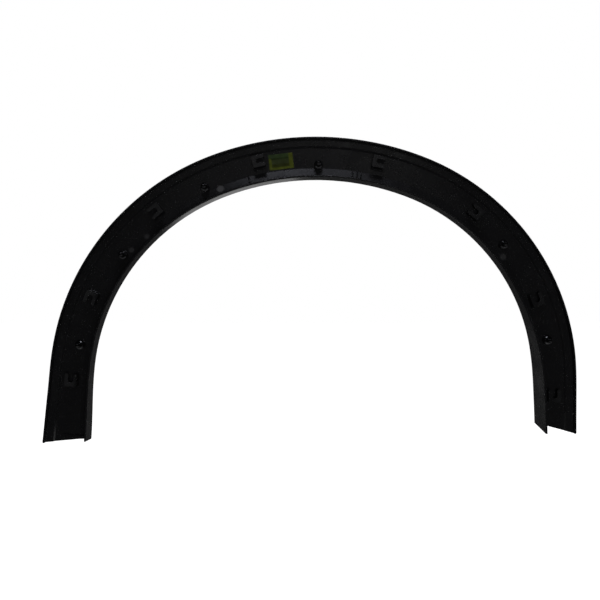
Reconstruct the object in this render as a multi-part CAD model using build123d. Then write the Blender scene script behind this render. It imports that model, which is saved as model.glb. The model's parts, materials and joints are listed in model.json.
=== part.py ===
from build123d import *
import os
from math import radians, sqrt, tan

os.makedirs("parts", exist_ok=True)

# A wheel-arch moulding, seen from its body side: X to the right, Z up, show face toward +Y.
# Lengths are millimetres and turns are degrees.

# Outer edge, from the right foot over the crown to the left foot
right_leg = 95.0
right_shoulder_radius = 395.0
right_shoulder_turn = 68.7
crown_radius = 491.5
crown_turn = 42.1
left_shoulder_radius = 412.0
left_shoulder_turn = 63.6
left_leg = 134.5
plan_bow_radius = 4500.0       # the body side curves away toward both feet
section_spacing = 40.0         # between the sections that carry the skin
end_pair = 2.0                 # between the last two sections of a length of skin
features_per_length = 3        # the skin is made in lengths that carry a few features each

# Section across the band, measured inward from the outer edge
wall = 2.8
band_width = 73.0
lip_height = 12.0              # outer lip, above the back of the panel
strip_width = 14.5
strip_rise = 3.0               # margin strip stands this far behind the panel
joggle_run = 2.5
bevel_run = 22.0
bevel_rise = 6.5
flange_height = 28.0           # rim of the wheel-side flange, above the back of the panel
flange_lean = 6.0
small_bend = 1.0
lip_bend = 3.4                 # show-side rounding along the outer edge
flange_bend = 3.0
crease_bend = 2.0
rim_round = 0.8

# Changes toward the feet
right_foot_width = 68.5
right_taper = 150.0
left_foot_width = 79.5
left_flare = 130.0
right_foot_flange = 50.0
deep_flange_full = 70.0        # distance above the right foot where the flange is at its deepest
deep_flange_start = 300.0
left_foot_flange = 32.0
left_flange_run = 200.0
right_foot_slope = 15.0
left_foot_slope = 5.0
right_flange_end_slope = 14.5
right_flange_end_rise = 4.5    # the flange stops this far above the panel beside it
foot_corner_radius = 3.0
trim_allowance = 30.0          # skin made past each foot and cut away
corner_block = 300.0           # more of the foot than any cut reaches

# Clip seats: share of the outer edge from the right foot, inset, and the way the slot opens
clip_seats = [
    (0.042, 37.0, 1),
    (0.158, 41.0, 1),
    (0.288, 37.0, 1),
    (0.419, 30.5, -1),
    (0.562, 31.5, -1),
    (0.6993, 35.0, 1),
    (0.829, 38.0, 1),
    (0.9285, 37.0, -1),
]
seat_length = 21.5
seat_width = 20.0
seat_height = 15.0
seat_wall = 2.0
seat_plate = 2.4
slot_width = 8.5
slot_mouth = 12.5
slot_mouth_depth = 3.0
seat_corner = 2.0

# Locating pins: share of the outer edge and inset. The crown pin is the datum.
locating_pins = [
    (0.107, 41.0),
    (0.236, 41.0),
    (0.4905, 46.5),
    (0.633, 44.5),
    (0.765, 47.0),
    (0.8877, 43.0),
]
crown_pin = 2
pin_radius = 3.5
pin_length = 11.0              # straight length above the shoulder
pin_tip = 3.0
pin_tip_radius = 2.0
shoulder_radius = 7.0
shoulder_height = 12.0
shoulder_chamfer = 2.0

# Gussets between panel and flange, and the rib across the left foot
rib_thickness = 1.8
gussets = [0.437, 0.442, 0.4475, 0.578]
gusset_inset = 50.0
gusset_height = 20.0
end_rib_above_foot = 17.0
end_rib_inset = 30.0
end_rib_height = 10.0

# Sticker on the back of the crown
label_share = 0.5355
label_inset = 36.0
label_length = 41.0
label_width = 26.0
label_thickness = 0.15
label_gap = 0.1                # adhesive


# Outer edge as tangent stretches, drawn flat with Z as the second coordinate
leg_one = Line((0, -right_leg - trim_allowance), (0, 0))
shoulder_one = JernArc(leg_one @ 1, leg_one % 1, right_shoulder_radius, right_shoulder_turn)
crown = JernArc(shoulder_one @ 1, shoulder_one % 1, crown_radius, crown_turn)
shoulder_two = JernArc(crown @ 1, crown % 1, left_shoulder_radius, left_shoulder_turn)
leg_two = Line(shoulder_two @ 1, (shoulder_two @ 1) + (shoulder_two % 1) * (left_leg + trim_allowance))
outer_edge = Wire([leg_one, shoulder_one, crown, shoulder_two, leg_two])
edge_length = outer_edge.length - 2 * trim_allowance
bow_middle = (crown @ 0.5).X


def bow(x):
    return (x - bow_middle) ** 2 / (2 * plan_bow_radius)


def station(distance):
    # Plane across the band: X inward, Y toward the body, at a distance from the right foot
    along = distance + trim_allowance
    point = outer_edge.position_at(along, position_mode=PositionMode.LENGTH)
    travel = outer_edge.tangent_at(along, position_mode=PositionMode.LENGTH)
    return Plane(
        origin=(point.X, -bow(point.X), point.Y),
        x_dir=(-travel.Y, 0, travel.X),
        z_dir=(travel.X, 0, travel.Y),
    )


def ramp(share):
    share = min(1.0, max(0.0, share))
    return share * share * (3 - 2 * share)


def width_at(distance):
    right = (right_foot_width - band_width) * ramp(1 - distance / right_taper)
    left = (left_foot_width - band_width) * ramp(1 - (edge_length - distance) / left_flare)
    return band_width + right + left


def flange_at(distance):
    rise = ramp((deep_flange_start - distance) / (deep_flange_start - deep_flange_full))
    left = ramp(1 - (edge_length - distance) / left_flange_run)
    return (
        flange_height
        + (right_foot_flange - flange_height) * rise
        + (left_foot_flange - flange_height) * left
    )


def back_path(distance):
    # Back of the wall from the rim of the lip to the rim of the flange
    width = width_at(distance)
    rim = flange_at(distance)
    root = width - wall
    return [
        Vector(wall, lip_height),
        Vector(wall, strip_rise),
        Vector(strip_width, strip_rise),
        Vector(strip_width + joggle_run, 0),
        Vector(width - bevel_run, 0),
        Vector(root, bevel_rise),
        Vector(root - (rim - bevel_rise) * tan(radians(flange_lean)), rim),
    ]


def offset_path(path, gap):
    # The same path moved toward the show side, with mitred corners
    sides = []
    for start, end in zip(path, path[1:]):
        run = (end - start).normalized()
        sides.append(Vector(run.Y, -run.X))
    moved = []
    for before, point, after in zip([sides[0]] + sides, path, sides + [sides[-1]]):
        moved.append(point + (before + after) * (gap / (1 + before.dot(after))))
    return moved


def rounded_outline(corners):
    # Closed wire through corners, each with its rounding; none leaves the corner plain
    edges = []
    joins = []
    for i, (corner, rounding) in enumerate(corners):
        back = (corners[i - 1][0] - corner).normalized()
        ahead = (corners[(i + 1) % len(corners)][0] - corner).normalized()
        cosine = back.dot(ahead)
        reach = rounding * sqrt((1 + cosine) / (1 - cosine))
        middle = (back + ahead).normalized()
        depth = rounding * (sqrt(2 / (1 - cosine)) - 1)
        joins.append((corner + back * reach, corner + middle * depth, corner + ahead * reach))
    for i, (enter, apex, leave) in enumerate(joins):
        if corners[i][1] > 0:
            edges.append(ThreePointArc(enter, apex, leave))
        edges.append(Line(leave, joins[(i + 1) % len(joins)][0]))
    return Wire(edges)


def skin_section(distance):
    back = back_path(distance)
    show = offset_path(back, wall)
    back_bends = [0, small_bend, small_bend, small_bend, crease_bend, flange_bend, 0]
    show_bends = [rim_round, lip_bend, small_bend, small_bend, crease_bend, flange_bend + wall, rim_round]
    corners = list(zip(back, back_bends)) + list(zip(show, show_bends))[::-1]
    return station(distance) * rounded_outline(corners)


def room_section(distance):
    # The space behind the panel, taken to the middle of the wall
    middle = offset_path(back_path(distance), wall / 2)
    top = max(right_foot_flange, seat_height, shoulder_height + pin_length + pin_tip) + wall
    corners = [Vector(middle[0].X, top)] + middle[1:-1] + [Vector(middle[-1].X, top)]
    return station(distance) * Wire(Polyline(*corners, close=True).edges())


def room_near(distance, reach):
    return Solid.make_loft([room_section(distance + step * reach) for step in (-1, 0, 1)])


def skin_between(first, last):
    # A close pair of sections at each end keeps neighbouring lengths of skin tangent
    count = max(2, round((last - first) / section_spacing))
    spread = [first + (last - first) * i / count for i in range(1, count)]
    distances = [first, first + end_pair] + spread + [last - end_pair, last]
    return Solid.make_loft([skin_section(d) for d in distances])


def face_plane(distance, inset):
    # Plane on the back of the panel, square to the push-on direction: X along the edge, Z toward the body
    across = station(distance)
    return Plane(
        origin=across.from_local_coords((inset, 0)),
        x_dir=across.z_dir,
        z_dir=(0, -1, 0),
    )


def prism(sketch, bottom, top):
    return Pos(0, 0, bottom) * extrude(sketch, amount=top - bottom)


def clip_seat(share, inset, way):
    # A box on the panel with one open end and a slotted top for the neck of a clip
    block = RectangleRounded(seat_length, seat_width, seat_corner)
    hollow = Pos(seat_wall, 0) * Rectangle(seat_length, seat_width - 2 * seat_wall)
    neck = Pos(seat_length / 2, 0) * Rectangle(seat_length, slot_width) + Circle(slot_width / 2)
    mouth = Polygon(
        (seat_length / 2 - slot_mouth_depth, -slot_width / 2),
        (seat_length / 2, -slot_mouth / 2),
        (seat_length / 2, slot_mouth / 2),
        (seat_length / 2 - slot_mouth_depth, slot_width / 2),
        align=None,
    )
    seat = prism(block, -seat_height, seat_height)
    seat -= prism(hollow, -seat_height, seat_height - seat_plate)
    seat -= prism(neck + mouth, 0, seat_height)
    turn = Rot(0, 0, 0 if way > 0 else 180)
    seat = face_plane(share * edge_length, inset) * turn * seat
    return seat & room_near(share * edge_length, seat_length)


def locating_pin(share, inset):
    # A pin on a chamfered shoulder, which stops against the fender
    upright = (Align.CENTER, Align.CENTER, Align.MIN)
    straight = shoulder_height - shoulder_chamfer
    pin = prism(Circle(shoulder_radius), -shoulder_height, straight)
    pin += Pos(0, 0, straight) * Cone(
        shoulder_radius, shoulder_radius - shoulder_chamfer, shoulder_chamfer, align=upright
    )
    pin += Pos(0, 0, shoulder_height) * Cylinder(pin_radius, pin_length, align=upright)
    pin += Pos(0, 0, shoulder_height + pin_length) * Cone(pin_radius, pin_tip_radius, pin_tip, align=upright)
    pin = face_plane(share * edge_length, inset) * pin
    return pin & room_near(share * edge_length, 2 * shoulder_radius)


def cross_rib(distance, inset, height):
    # A web across the band from an inset to the flange, with a sloping top
    width = width_at(distance)
    web = Polygon(
        (inset, -wall),
        (width, -wall),
        (width, height),
        (width - bevel_run / 2, height),
        (inset, min(height, wall)),
        align=None,
    )
    web = extrude(station(distance) * web, amount=rib_thickness / 2, both=True)
    return web & room_near(distance, 3 * rib_thickness)


def foot_cut(corner, up, inward, first, last):
    # What lies below the end of a foot and outside its rounded corner, between two X limits
    side = inward * corner_block
    height = up * corner_block
    kept = make_face(
        Polyline(corner, corner + side, corner + side + height, corner + height, close=True)
    )
    kept = fillet(kept.vertices().sort_by_distance(corner)[0], foot_corner_radius)
    middle = (first + last) / 2
    around = Pos(middle, corner.Y) * Rectangle(abs(last - first), 4 * trim_allowance)
    return extrude(Plane.XZ * (around - kept), amount=4 * right_foot_flange, both=True)


def right_foot_cuts():
    corner = outer_edge.position_at(trim_allowance, position_mode=PositionMode.LENGTH)
    slope = radians(right_foot_slope)
    lean = (right_foot_flange - bevel_rise) * tan(radians(flange_lean))
    split = corner.X - right_foot_width + wall + lean
    split_height = corner.Y + (corner.X - split) * tan(slope)
    outside = corner + Vector(rim_round / 2, 0)
    panel_end = foot_cut(outside, Vector(0, 1), Vector(-1, tan(slope)), split, corner.X + trim_allowance)
    turn = Rot(right_flange_end_slope, 0, 0)
    block = Box(
        3 * trim_allowance,
        8 * right_foot_flange,
        4 * trim_allowance,
        align=(Align.MAX, Align.CENTER, Align.MAX),
    )
    flange_end = Pos(split, -bow(corner.X), split_height + right_flange_end_rise) * turn * block
    return panel_end + flange_end


def left_foot_cut():
    along = trim_allowance + edge_length
    corner = outer_edge.position_at(along, position_mode=PositionMode.LENGTH)
    travel = outer_edge.tangent_at(along, position_mode=PositionMode.LENGTH)
    outside = corner - Vector(rim_round / 2, 0)
    inward = Vector(1, tan(radians(left_foot_slope)))
    return foot_cut(outside, travel * -1, inward, corner.X - trim_allowance, corner.X + 2 * left_foot_width)


def moulded_features():
    # Each feature with its distance along the outer edge, in order
    features = [(seat[0] * edge_length, clip_seat(*seat)) for seat in clip_seats]
    features += [(pin[0] * edge_length, locating_pin(*pin)) for pin in locating_pins]
    for share in gussets:
        distance = share * edge_length
        features.append((distance, cross_rib(distance, gusset_inset, gusset_height)))
    end_rib = edge_length - end_rib_above_foot
    features.append((end_rib, cross_rib(end_rib, end_rib_inset, end_rib_height)))
    return sorted(features, key=lambda feature: feature[0])


def arch_moulding():
    features = moulded_features()
    groups = [features[i:i + features_per_length] for i in range(0, len(features), features_per_length)]
    joints = [(before[-1][0] + after[0][0]) / 2 for before, after in zip(groups, groups[1:])]
    ends = [-trim_allowance] + joints + [edge_length + trim_allowance]
    lengths = []
    for first, last, group in zip(ends, ends[1:], groups):
        lengths.append(skin_between(first, last).fuse(*[solid for _, solid in group]))
    lengths[0] = lengths[0].cut(right_foot_cuts())
    lengths[-1] = lengths[-1].cut(left_foot_cut())
    return lengths[0].fuse(*lengths[1:])


def part_label():
    # A flat rectangle laid on the bowed panel
    middle = label_share * edge_length
    layers = []
    for step in range(-2, 3):
        distance = middle + step * label_length / 3
        low = Vector(strip_width + joggle_run, label_gap)
        high = Vector(width_at(distance) - bevel_run, label_gap + label_thickness)
        corners = [low, Vector(high.X, low.Y), high, Vector(low.X, high.Y)]
        layers.append(station(distance) * Wire(Polyline(*corners, close=True).edges()))
    layer = Solid.make_loft(layers)
    blank = prism(Rectangle(label_length, label_width), -wall, wall)
    return layer & (face_plane(middle, label_inset) * blank)


# The centre of the crown pin's shoulder goes to the origin
crown_spot = face_plane(locating_pins[crown_pin][0] * edge_length, locating_pins[crown_pin][1])
datum = crown_spot.origin + crown_spot.z_dir * shoulder_height
to_datum = Pos(*(datum * -1))
export_step(to_datum * arch_moulding(), "parts/arch_moulding.step")
export_step(to_datum * part_label(), "parts/part_label.step")
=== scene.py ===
import json
import math

import bmesh
import bpy
import numpy as np
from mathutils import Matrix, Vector
from mathutils.bvhtree import BVHTree


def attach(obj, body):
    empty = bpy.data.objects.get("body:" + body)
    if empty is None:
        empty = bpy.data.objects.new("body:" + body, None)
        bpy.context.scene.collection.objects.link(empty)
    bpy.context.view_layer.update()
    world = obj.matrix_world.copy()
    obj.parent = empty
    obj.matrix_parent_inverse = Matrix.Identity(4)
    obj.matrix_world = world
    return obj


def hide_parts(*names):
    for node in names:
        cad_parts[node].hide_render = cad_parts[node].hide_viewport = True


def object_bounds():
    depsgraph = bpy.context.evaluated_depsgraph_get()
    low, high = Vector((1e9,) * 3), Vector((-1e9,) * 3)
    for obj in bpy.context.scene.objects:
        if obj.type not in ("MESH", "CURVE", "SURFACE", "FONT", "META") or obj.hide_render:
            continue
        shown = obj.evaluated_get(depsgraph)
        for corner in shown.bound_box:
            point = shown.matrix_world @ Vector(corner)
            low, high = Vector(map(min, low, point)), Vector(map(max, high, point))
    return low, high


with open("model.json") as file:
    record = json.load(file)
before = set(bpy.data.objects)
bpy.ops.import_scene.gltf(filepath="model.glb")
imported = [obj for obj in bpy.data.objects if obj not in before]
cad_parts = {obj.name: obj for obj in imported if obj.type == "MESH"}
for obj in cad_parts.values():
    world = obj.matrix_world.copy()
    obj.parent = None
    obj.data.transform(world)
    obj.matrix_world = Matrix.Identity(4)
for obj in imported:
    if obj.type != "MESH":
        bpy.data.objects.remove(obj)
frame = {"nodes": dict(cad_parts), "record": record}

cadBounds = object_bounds()
print("stage: frame loaded")

rising = (0.0, 1.0)
falling = (1.0, 0.0)
noiseSpread = (0.3, 0.7)                   # where most values of a noise texture lie
keepXZ = (1.0, 0.0, 1.0)                   # flattens a place along Y
towardShow = Vector((0.0, 1.0, 0.0))       # from the back of the part to its show side
mixSockets = {"FLOAT": (2, 3, 0), "RGBA": (6, 7, 2)}   # both sides and the result of a Mix node


def link(obj):
    bpy.context.scene.collection.objects.link(obj)
    return obj


def newMaterial(name):
    material = bpy.data.materials.new(name)
    material.use_nodes = True
    material.node_tree.nodes.clear()
    return material, material.node_tree


def feed(tree, socket, side):
    # A node's output is linked, a colour or a number is set
    if isinstance(side, bpy.types.NodeSocket):
        tree.links.new(side, socket)
    elif isinstance(side, tuple):
        socket.default_value = (*side, 1.0)
    else:
        socket.default_value = side


def addNode(tree, kind, settings=None, **inputs):
    node = tree.nodes.new(kind)
    for key, value in (settings or {}).items():
        setattr(node, key, value)
    for key, side in inputs.items():
        feed(tree, node.inputs[key.replace("_", " ")], side)
    return node


def mapRange(tree, source, fromRange, toRange):
    node = addNode(tree, "ShaderNodeMapRange", Value=source)
    node.inputs["From Min"].default_value, node.inputs["From Max"].default_value = fromRange
    node.inputs["To Min"].default_value, node.inputs["To Max"].default_value = toRange
    return node.outputs["Result"]


def mix(tree, kind, factor, first, second, blend="MIX"):
    node = addNode(tree, "ShaderNodeMix", {"data_type": kind, "blend_type": blend})
    firstSide, secondSide, result = mixSockets[kind]
    feed(tree, node.inputs[0], factor)
    feed(tree, node.inputs[firstSide], first)
    feed(tree, node.inputs[secondSide], second)
    return node.outputs[result]


def combine(tree, operation, first, second=0.0):
    node = addNode(tree, "ShaderNodeMath", {"operation": operation})
    feed(tree, node.inputs[0], first)
    feed(tree, node.inputs[1], second)
    return node.outputs[0]


def noise(tree, place, pattern):
    node = addNode(tree, "ShaderNodeTexNoise", Vector=place, Scale=pattern["scale"])
    feed(tree, node.inputs["Detail"], pattern["detail"])
    feed(tree, node.inputs["Roughness"], pattern["roughness"])
    return node.outputs["Fac"]


def bumpNode(tree, strength, depth, height):
    return addNode(tree, "ShaderNodeBump", Strength=strength, Distance=depth, Height=height)


def principledSurface(tree, colour, roughness, normal):
    shader = addNode(tree, "ShaderNodeBsdfPrincipled", Base_Color=colour, Roughness=roughness, Normal=normal)
    addNode(tree, "ShaderNodeOutputMaterial", Surface=shader.outputs["BSDF"])


# The moulding, black plastic that is smooth at the back and grained on the show side
moulding = {
    "backColours": ((0.0031, 0.0031, 0.0033), (0.0048, 0.0048, 0.0051)),
    "backRoughness": (0.20, 0.32),
    "backRelief": 0.12,                    # share of the grain's depth
    "showColours": ((0.0085, 0.0085, 0.0088), (0.0115, 0.0115, 0.0120)),
    "showRoughness": (0.46, 0.56),
    "showFacing": (0.05, 0.35),            # Y of the normal, from the back's finish to the show side's
    "mottle": {"scale": 1 / 0.035, "detail": 5.0, "roughness": 0.6},   # patches of about 35 mm
    "fineNoise": {"scale": 420.0, "detail": 3.0, "roughness": 0.55},
    "grainSize": 0.0009,
    "grainReach": 0.7,                     # in grain sizes, from the middle of a grain to its rim
    "grainDepth": 0.00007,
    "bumpStrength": 0.8,
    "edgeRadius": 0.0007,                  # moulded edges are never quite sharp
    "edgeSamples": 4,
    "markColour": (0.030, 0.030, 0.031),
    "markCore": 0.6,                       # share of a mark's radius that isn't faded
    "ejectorMarks": (                      # X, Z, radius and strength of the pale rounds the ejectors left
        (-0.1654, -0.0405, 0.0072, 1.0),
        (0.3090, -0.1560, 0.0064, 0.38),
        (-0.2878, -0.1215, 0.0052, 0.38),
        (-0.3136, -0.1445, 0.0052, 0.34),
    ),
    "seats": {
        "colour": (0.0078, 0.0078, 0.0081),    # painted sheen: the tops of the clip seats are painted paler, for the light they catch
        "top": 0.0032,                     # clip seats reach this far past the origin, toward the body
        "bowDiameter": 8.2,                # of the curve that their tops follow, seen from above
        "fade": (0.0014, 0.0020),          # distance from that curve
        "topFacing": (-0.99, -0.96),       # Y of the normal
        "sheenAcross": (0.0, 0.28),       # the painted sheen fades toward the right leg, where less light falls
        "sheenLeast": 0.45,
    },
    "pins": {
        "radius": 0.0071,                  # of the shoulder, seen along the pin
        "core": 0.97,
        "colour": (0.0016, 0.0016, 0.0017),    # painted shade: the pins are painted darker than the panel, for the shade that darkens them
        "roughness": 0.20,
        "edgeRadius": 0.0018,
        "paintedGlintColour": (0.025, 0.025, 0.026),  # painted highlight: the lower chamfers of the pins are painted pale, for the glint of light from below
        "glintBelow": (-0.25, -0.50),     # Z of the normal
        "glintFacing": (-0.30, -0.50),    # Y of the normal
    },
}


def seatTopSheen(tree, place, facing):
    # 1 on what faces the body at the height of the clip seats, above a panel that bows back toward the feet;
    # the mask of the painted sheen on the seat tops, fading toward the right leg
    seats = moulding["seats"]
    spot = addNode(tree, "ShaderNodeSeparateXYZ", Vector=place)
    square = combine(tree, "MULTIPLY", spot.outputs["X"], spot.outputs["X"])
    bow = combine(tree, "MULTIPLY", square, 1 / seats["bowDiameter"])
    height = combine(tree, "ADD", combine(tree, "ADD", spot.outputs["Y"], bow), seats["top"])
    near = mapRange(tree, combine(tree, "ABSOLUTE", height), seats["fade"], falling)
    level = combine(tree, "MULTIPLY", near, mapRange(tree, facing, seats["topFacing"], falling))
    sheenFade = mapRange(tree, spot.outputs["X"], seats["sheenAcross"], (1.0, seats["sheenLeast"]))
    return combine(tree, "MULTIPLY", level, sheenFade)


def roundSpots(tree, place, spots, core):
    # 1 on each round seen along Y, fading from a share of its radius to its rim
    flat = addNode(tree, "ShaderNodeVectorMath", {"operation": "MULTIPLY"})
    feed(tree, flat.inputs[0], place)
    flat.inputs[1].default_value = keepXZ
    total = 0.0
    for x, z, radius, strength in spots:
        reach = addNode(tree, "ShaderNodeVectorMath", {"operation": "DISTANCE"})
        feed(tree, reach.inputs[0], flat.outputs["Vector"])
        reach.inputs[1].default_value = (x, 0.0, z)
        rim = mapRange(tree, reach.outputs["Value"], (radius * core, radius), (strength, 0.0))
        total = combine(tree, "MAXIMUM", total, rim)
    return total


def pinSpots():
    mounts = [mount["pos_m"] for mount in frame["record"]["mounts"] if mount["kind"] == "pin"]
    return [(x, z, moulding["pins"]["radius"], 1.0) for x, y, z in mounts]


def backColour(tree, place, normal, mottle, pinArea):
    pins = moulding["pins"]
    seatSheen = seatTopSheen(tree, place, normal.outputs["Y"])
    marks = roundSpots(tree, place, moulding["ejectorMarks"], moulding["markCore"])
    # painted highlight on the lower pin chamfers, where the normal points down and toward the body
    below = mapRange(tree, normal.outputs["Z"], pins["glintBelow"], rising)
    facing = mapRange(tree, normal.outputs["Y"], pins["glintFacing"], rising)
    chamferGlint = combine(tree, "MULTIPLY", pinArea, combine(tree, "MULTIPLY", below, facing))
    colour = mix(tree, "RGBA", mottle, *moulding["backColours"])
    # painted sheen: the tops of the clip seats are made paler
    colour = mix(tree, "RGBA", seatSheen, colour, moulding["seats"]["colour"])
    colour = mix(tree, "RGBA", marks, colour, moulding["markColour"])
    # painted shade: the pins are made darker than the panel
    colour = mix(tree, "RGBA", pinArea, colour, pins["colour"])
    # painted highlight: the lower pin chamfers are made pale
    return mix(tree, "RGBA", chamferGlint, colour, pins["paintedGlintColour"])


def plasticMaterial():
    pins = moulding["pins"]
    material, tree = newMaterial("blackMouldedPlastic")
    place = addNode(tree, "ShaderNodeTexCoord").outputs["Object"]
    geometry = addNode(tree, "ShaderNodeNewGeometry")
    normal = addNode(tree, "ShaderNodeSeparateXYZ", Vector=geometry.outputs["Normal"])
    showSide = mapRange(tree, normal.outputs["Y"], moulding["showFacing"], rising)
    mottle = noise(tree, place, moulding["mottle"])
    fine = noise(tree, place, moulding["fineNoise"])
    pinArea = roundSpots(tree, place, pinSpots(), pins["core"])

    back = backColour(tree, place, normal, mottle, pinArea)
    show = mix(tree, "RGBA", mottle, *moulding["showColours"])
    colour = mix(tree, "RGBA", showSide, back, show)

    backRoughness = mapRange(tree, mottle, noiseSpread, moulding["backRoughness"])
    backRoughness = mix(tree, "FLOAT", pinArea, backRoughness, pins["roughness"])
    showRoughness = mapRange(tree, fine, noiseSpread, moulding["showRoughness"])
    roughness = mix(tree, "FLOAT", showSide, backRoughness, showRoughness)

    grain = addNode(tree, "ShaderNodeTexVoronoi", {"feature": "SMOOTH_F1"}, Vector=place)
    feed(tree, grain.inputs["Scale"], 1 / moulding["grainSize"])
    backRelief = mapRange(tree, fine, rising, (0.0, moulding["backRelief"]))
    showRelief = mapRange(tree, grain.outputs["Distance"], (0.0, moulding["grainReach"]), rising)
    relief = mix(tree, "FLOAT", showSide, backRelief, showRelief)
    edgeRadius = mapRange(tree, pinArea, rising, (moulding["edgeRadius"], pins["edgeRadius"]))
    edges = addNode(tree, "ShaderNodeBevel", {"samples": moulding["edgeSamples"]}, Radius=edgeRadius)
    bump = bumpNode(tree, moulding["bumpStrength"], moulding["grainDepth"], relief)
    feed(tree, bump.inputs["Normal"], edges.outputs["Normal"])
    principledSurface(tree, colour, roughness, bump.outputs["Normal"])
    return material


def dressMoulding():
    material = plasticMaterial()
    for slot in frame["nodes"]["arch_moulding"].material_slots:
        slot.material = material


dressMoulding()
print("stage: moulding dressed")

# The sticker, a thin sheet of printed vinyl in plain fields of colour
sticker = {
    "cell": 0.0005,
    "cornerRadius": 0.0012,
    "thickness": 0.00012,
    "lift": 0.00012,
    "castFrom": -0.02,                     # Y from where the sheet is laid onto the panel
    "sideBorder": 0.0045,
    "rightBorder": 0.0070,
    "bottomBorder": 0.0042,
    "headerHeight": 0.0067,
    "ruleHeight": 0.0026,
    "fieldHeight": 0.0076,
    "colours": {
        "stickerBorder": (0.032, 0.039, 0.002),
        "stickerHeader": (0.014, 0.024, 0.007),
        "stickerRule": (0.005, 0.010, 0.0005),
        "stickerField": (0.015, 0.020, 0.006),
        "stickerFoot": (0.010, 0.013, 0.0003),
    },
    "cloud": {"scale": 160.0, "detail": 3.0, "roughness": 0.5},
    "cloudShade": (0.75, 1.15),
    "speckle": {"scale": 1500.0, "detail": 4.0, "roughness": 0.5},
    "speckleRoughness": (0.38, 0.52),
    "speckleDepth": 0.00002,
    "bumpStrength": 0.5,
}


def vinylGroup():
    group = bpy.data.node_groups.new("printedVinyl", "ShaderNodeTree")
    group.interface.new_socket("Ink", in_out="INPUT", socket_type="NodeSocketColor")
    group.interface.new_socket("Colour", in_out="OUTPUT", socket_type="NodeSocketColor")
    group.interface.new_socket("Roughness", in_out="OUTPUT", socket_type="NodeSocketFloat")
    group.interface.new_socket("Height", in_out="OUTPUT", socket_type="NodeSocketFloat")
    ink = addNode(group, "NodeGroupInput").outputs["Ink"]
    place = addNode(group, "ShaderNodeTexCoord").outputs["Object"]
    speckle = noise(group, place, sticker["speckle"])
    shade = mapRange(group, noise(group, place, sticker["cloud"]), noiseSpread, sticker["cloudShade"])
    colour = mix(group, "RGBA", 1.0, ink, shade, "MULTIPLY")
    roughness = mapRange(group, speckle, noiseSpread, sticker["speckleRoughness"])
    addNode(group, "NodeGroupOutput", Colour=colour, Roughness=roughness, Height=speckle)
    return group


def inkMaterial(name, ink, group):
    material, tree = newMaterial(name)
    vinyl = addNode(tree, "ShaderNodeGroup", {"node_tree": group}, Ink=ink)
    bump = bumpNode(tree, sticker["bumpStrength"], sticker["speckleDepth"], vinyl.outputs["Height"])
    principledSurface(tree, vinyl.outputs["Colour"], vinyl.outputs["Roughness"], bump.outputs["Normal"])
    return material


def stickerField(across, down, width, height):
    header = sticker["headerHeight"]
    rule = header + sticker["ruleHeight"]
    field = rule + sticker["fieldHeight"]
    if down > height - sticker["bottomBorder"] or across > width - sticker["rightBorder"]:
        return "stickerBorder"
    if down < header:
        return "stickerHeader"
    if across < sticker["sideBorder"]:
        return "stickerBorder"
    if down < rule:
        return "stickerRule"
    if down < field:
        return "stickerField"
    return "stickerFoot"


def roundCorner(across, down, width, height):
    radius = sticker["cornerRadius"]
    middle = (min(max(across, radius), width - radius), min(max(down, radius), height - radius))
    offset = (across - middle[0], down - middle[1])
    reach = math.hypot(*offset)
    if reach <= radius:
        return across, down
    return middle[0] + offset[0] * radius / reach, middle[1] + offset[1] * radius / reach


def labelFrame():
    # Middle, two directions and size of the CAD label, read from its flat points
    points = np.array([v.co[:] for v in frame["nodes"]["part_label"].data.vertices])
    flat = points[:, [0, 2]]
    middle = (flat.max(axis=0) + flat.min(axis=0)) / 2
    vectors = np.linalg.eigh(np.cov((flat - flat.mean(axis=0)).T))[1]
    along = vectors[:, 1] * np.sign(vectors[0, 1])
    down = np.array([along[1], -along[0]])
    reach = flat - middle
    return middle, along, down, np.ptp(reach @ along), np.ptp(reach @ down)


def stickerGrid(mesh, label, columns, rows, gap):
    # Points laid onto the panel along Y, at a gap from it
    middle, along, down, width, height = label
    panel = BVHTree.FromObject(frame["nodes"]["arch_moulding"], bpy.context.evaluated_depsgraph_get())
    grid = []
    for j in range(rows + 1):
        line = []
        for i in range(columns + 1):
            spot = roundCorner(width * i / columns, height * j / rows, width, height)
            flat = middle + along * (spot[0] - width / 2) + down * (spot[1] - height / 2)
            start = Vector((flat[0], sticker["castFrom"], flat[1]))
            hit = panel.ray_cast(start, towardShow)[0]
            line.append(mesh.verts.new((flat[0], hit.y - gap, flat[1])))
        grid.append(line)
    return grid


def rimSteps(columns, rows):
    # Pairs of neighbours round the edge of the grid
    rim = [(0, i) for i in range(columns)] + [(j, columns) for j in range(rows)]
    rim += [(rows, columns - i) for i in range(columns)] + [(rows - j, 0) for j in range(rows)]
    return zip(rim, rim[1:] + rim[:1])


def stickerMesh():
    label = labelFrame()
    width, height = label[-2:]
    columns = round(width / sticker["cell"])
    rows = round(height / sticker["cell"])
    names = list(sticker["colours"])
    mesh = bmesh.new()
    top = stickerGrid(mesh, label, columns, rows, sticker["lift"] + sticker["thickness"])
    base = stickerGrid(mesh, label, columns, rows, sticker["lift"])
    for j in range(rows):
        for i in range(columns):
            centre = (width * (i + 0.5) / columns, height * (j + 0.5) / rows)
            face = mesh.faces.new((top[j][i], top[j + 1][i], top[j + 1][i + 1], top[j][i + 1]))
            face.material_index = names.index(stickerField(*centre, width, height))
            mesh.faces.new((base[j][i], base[j][i + 1], base[j + 1][i + 1], base[j + 1][i]))
    for (j, i), (nextJ, nextI) in rimSteps(columns, rows):
        mesh.faces.new((top[j][i], top[nextJ][nextI], base[nextJ][nextI], base[j][i]))
    bmesh.ops.recalc_face_normals(mesh, faces=mesh.faces)
    data = bpy.data.meshes.new("partSticker")
    mesh.to_mesh(data)
    mesh.free()
    return data


def makeSticker():
    data = stickerMesh()
    piece = link(bpy.data.objects.new("partSticker", data))
    group = vinylGroup()
    for name, ink in sticker["colours"].items():
        data.materials.append(inkMaterial(name, ink, group))
    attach(piece, "root")
    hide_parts("part_label")


makeSticker()
print("stage: sticker made")

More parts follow.
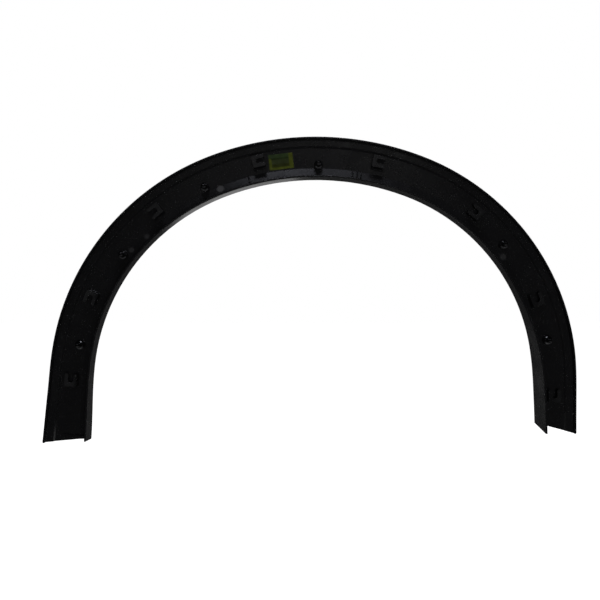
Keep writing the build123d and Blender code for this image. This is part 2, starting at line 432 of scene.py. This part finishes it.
# The pale room, white to the eye and in reflections
room = {
    "white": (1.0, 1.0, 1.0),
    "ambient": 0.16,                       # what the room gives to matt surfaces
    "floorDrop": 0.30,                     # the part hangs at its mount, above the floor
    "floorSize": 30.0,
    "floorColour": (0.5, 0.5, 0.5),
    "floorGlow": 0.95,
}


def plainRays(tree):
    # 1 for camera, glossy and transmission rays
    path = addNode(tree, "ShaderNodeLightPath")
    seen = combine(tree, "MAXIMUM", path.outputs["Is Camera Ray"], path.outputs["Is Glossy Ray"])
    return combine(tree, "MAXIMUM", seen, path.outputs["Is Transmission Ray"])


def flatSheet(name, size, material):
    wide = size[0] / 2
    deep = size[1] / 2
    corners = [(-wide, -deep, 0.0), (wide, -deep, 0.0), (wide, deep, 0.0), (-wide, deep, 0.0)]
    data = bpy.data.meshes.new(name)
    data.from_pydata(corners, [], [(0, 1, 2, 3)])
    data.materials.append(material)
    return link(bpy.data.objects.new(name, data))


def makeWorld():
    world = bpy.data.worlds.new("paleStudio")
    bpy.context.scene.world = world
    world.use_nodes = True
    tree = world.node_tree
    tree.nodes.clear()
    strength = mapRange(tree, plainRays(tree), rising, (room["ambient"], 1.0))
    background = addNode(tree, "ShaderNodeBackground", Color=room["white"], Strength=strength)
    addNode(tree, "ShaderNodeOutputWorld", Surface=background.outputs["Background"])


def makeFloor():
    material, tree = newMaterial("paleFloor")
    surface = addNode(tree, "ShaderNodeBsdfDiffuse", Color=room["floorColour"])
    strength = mapRange(tree, plainRays(tree), rising, (0.0, room["floorGlow"]))
    glow = addNode(tree, "ShaderNodeEmission", Color=room["white"], Strength=strength)
    both = addNode(tree, "ShaderNodeAddShader")
    feed(tree, both.inputs[0], surface.outputs["BSDF"])
    feed(tree, both.inputs[1], glow.outputs["Emission"])
    addNode(tree, "ShaderNodeOutputMaterial", Surface=both.outputs["Shader"])
    floor = flatSheet("floor", (room["floorSize"], room["floorSize"]), material)
    floor.location.z = cadBounds[0][2] - room["floorDrop"]


makeWorld()
makeFloor()
print("stage: room made")

# Dark cards, which only reflections see, keep the white room out of some of them
lying = (0.0, 0.0, 0.0)
upright = (90.0, 0.0, 0.0)
sideways = (90.0, 0.0, 90.0)
cards = {
    "curtainFront": {"centre": (0.0, -2.0, 1.2), "size": (6.0, 4.2), "turn": upright, "shade": 0.002},
    "curtainLeft": {"centre": (-3.0, -1.0, 1.2), "size": (2.4, 4.2), "turn": sideways, "shade": 0.002},
    "curtainRight": {"centre": (3.0, -1.0, 1.2), "size": (2.4, 4.2), "turn": sideways, "shade": 0.002},
    "ceilingFront": {"centre": (0.0, -1.0, 2.6), "size": (6.0, 2.2), "turn": lying, "shade": 0.002},
    "clothFront": {"centre": (0.0, -1.15, -0.755), "size": (9.0, 1.74), "turn": lying, "shade": 0.01},
    "clothRear": {"centre": (0.0, 2.75, -0.755), "size": (9.0, 5.5), "turn": lying, "shade": 0.10},
    "clothLeft": {"centre": (-2.45, -0.14, -0.754), "size": (4.0, 0.30), "turn": lying, "shade": 0.01},
    "clothRight": {"centre": (2.45, -0.14, -0.754), "size": (4.0, 0.30), "turn": lying, "shade": 0.01},
}


def makeCard(name, card):
    material, tree = newMaterial(name)
    surface = addNode(tree, "ShaderNodeBsdfDiffuse", Color=(card["shade"],) * 3)
    addNode(tree, "ShaderNodeOutputMaterial", Surface=surface.outputs["BSDF"])
    obj = flatSheet(name, card["size"], material)
    obj.location = card["centre"]
    obj.rotation_euler = [math.radians(angle) for angle in card["turn"]]
    for ray in ("camera", "diffuse", "shadow", "transmission", "volume_scatter"):
        setattr(obj, f"visible_{ray}", False)


for name, card in cards.items():
    makeCard(name, card)
print("stage: cards hung")

# Lamps, the small ones for the sheen on the bevel, the crown and the pins
whiteLight = (1.0, 1.0, 1.0)
coolLight = (0.86, 0.88, 1.0)
lamps = {
    "softbox": {
        "place": (-0.26, -0.86, 1.34), "aim": (-0.06, 0.0, 0.0), "size": (0.24, 0.35),
        "power": 1.25, "tint": coolLight, "gloss": True,
    },
    "softboxTail": {
        "place": (0.16, -0.85, 1.34), "aim": (0.0, 0.0, 0.0), "size": (0.52, 0.35),
        "power": 0.95, "tint": coolLight, "gloss": True,
    },
    "crownHaze": {
        "place": (-0.10, -1.9, 0.48), "aim": (0.0, 0.0, 0.0), "size": (0.70, 0.20),
        "power": 0.095, "tint": whiteLight, "gloss": True,
    },
    "crownGlow": {
        "place": (0.24, -1.9, 0.50), "aim": (0.05, 0.0, 0.0), "size": (0.13, 0.12),
        "power": 0.06, "tint": whiteLight, "gloss": True,
    },
    "topStrip": {
        "place": (-0.08, -0.40, 1.45), "aim": (-0.05, 0.0, 0.0), "size": (0.50, 0.25),
        "power": 6.0, "tint": coolLight, "gloss": True,
    },
    "frontFill": {
        "place": (0.15, -2.0, -0.45), "aim": (0.0, 0.0, -0.2), "size": (0.6, 0.5),
        "power": 30.0, "tint": whiteLight, "gloss": False,
    },
    "showFill": {
        "place": (0.9, 1.9, 1.2), "aim": (0.0, 0.0, -0.2), "size": (1.6, 1.0),
        "power": 30.0, "tint": whiteLight, "gloss": True,
    },
    "lowGlint": {
        "place": (-0.11, 0.30, -0.17), "aim": (-0.13, 0.0, -0.03), "size": (0.17, 0.10),
        "power": 0.045, "tint": whiteLight, "gloss": True,
    },
}


def makeLamp(name, lamp):
    data = bpy.data.lights.new(name, "AREA")
    data.shape = "RECTANGLE"
    data.size, data.size_y = lamp["size"]
    data.energy = lamp["power"]
    data.color = lamp["tint"]
    obj = link(bpy.data.objects.new(name, data))
    obj.location = lamp["place"]
    obj.rotation_euler = (Vector(lamp["aim"]) - obj.location).to_track_quat("-Z", "Y").to_euler()
    obj.visible_camera = False
    obj.visible_glossy = lamp["gloss"]


for name, lamp in lamps.items():
    makeLamp(name, lamp)
print("stage: lamps placed")

view = {
    "place": (-0.0311, -1.188, -0.2281),   # level with the middle of the wheel opening
    "turn": (90.0, 0.0, 0.0),
    "lens": 42.45,                         # in millimetres, like the sensor
    "sensor": 36.0,
}


def makeCamera():
    data = bpy.data.cameras.new("camera")
    data.lens = view["lens"]
    data.sensor_width = view["sensor"]
    camera = link(bpy.data.objects.new("camera", data))
    camera.location = view["place"]
    camera.rotation_euler = [math.radians(angle) for angle in view["turn"]]
    bpy.context.scene.camera = camera


makeCamera()
bpy.context.scene.view_settings.view_transform = "Standard"
print("stage: camera set")
